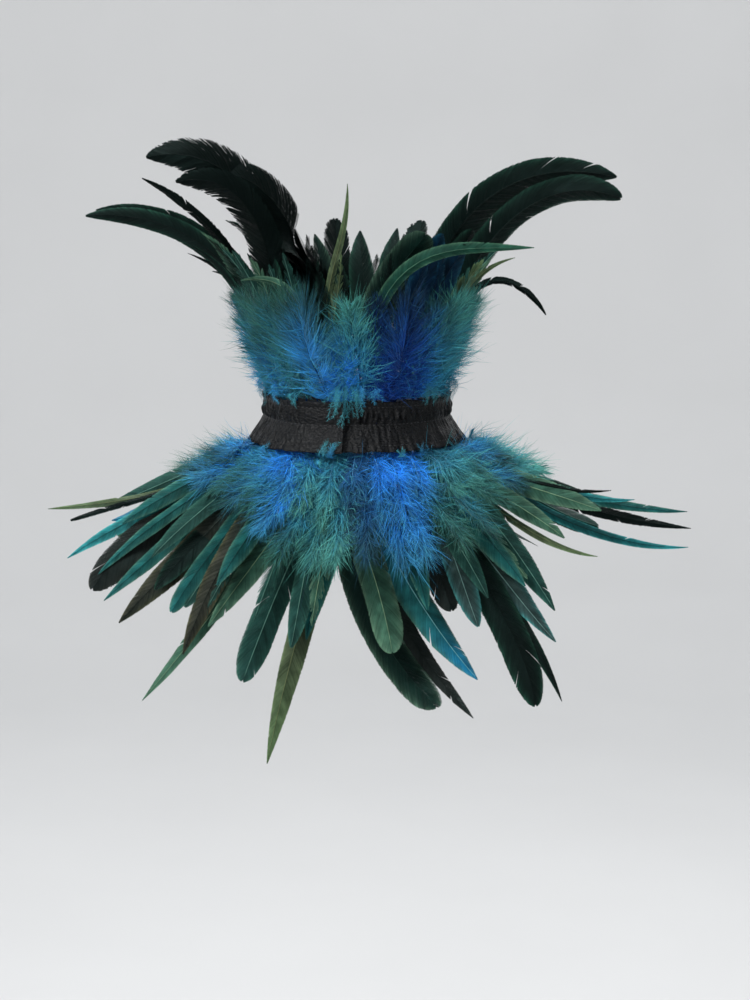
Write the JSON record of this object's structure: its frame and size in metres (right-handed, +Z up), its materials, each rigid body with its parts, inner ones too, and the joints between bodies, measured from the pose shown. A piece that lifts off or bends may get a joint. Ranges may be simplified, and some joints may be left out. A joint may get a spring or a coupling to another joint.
{
  "type": "feather shawl",
  "caption": "Short feather shawl: a gathered satin neck band that laps at the front, a ruff of dyed feathers standing above it and a cape of long feathers spread over the shoulders below it.",
  "frame": {"origin": "centre of the neck hole at half the height of the neck band", "axes": "+Z up along the neck, the lapped front faces -Y, +X to the wearer's left"},
  "size_m": [0.4284, 0.3026, 0.3895],
  "materials": {
    "band_satin": "black satin, gathered and stitched",
    "snap_metal": "black lacquered press stud",
    "ruff_feather": "dyed feathers, blue down and glossy green-black vanes",
    "cape_feather": "dyed feathers, blue down and glossy teal and green-black vanes"
  },
  "bodies": {
    "root": {"neck_band": "band_satin", "snap_fastener": "snap_metal", "ruff_trim": "ruff_feather", "cape_trim": "cape_feather"}
  },
  "joints": []
}
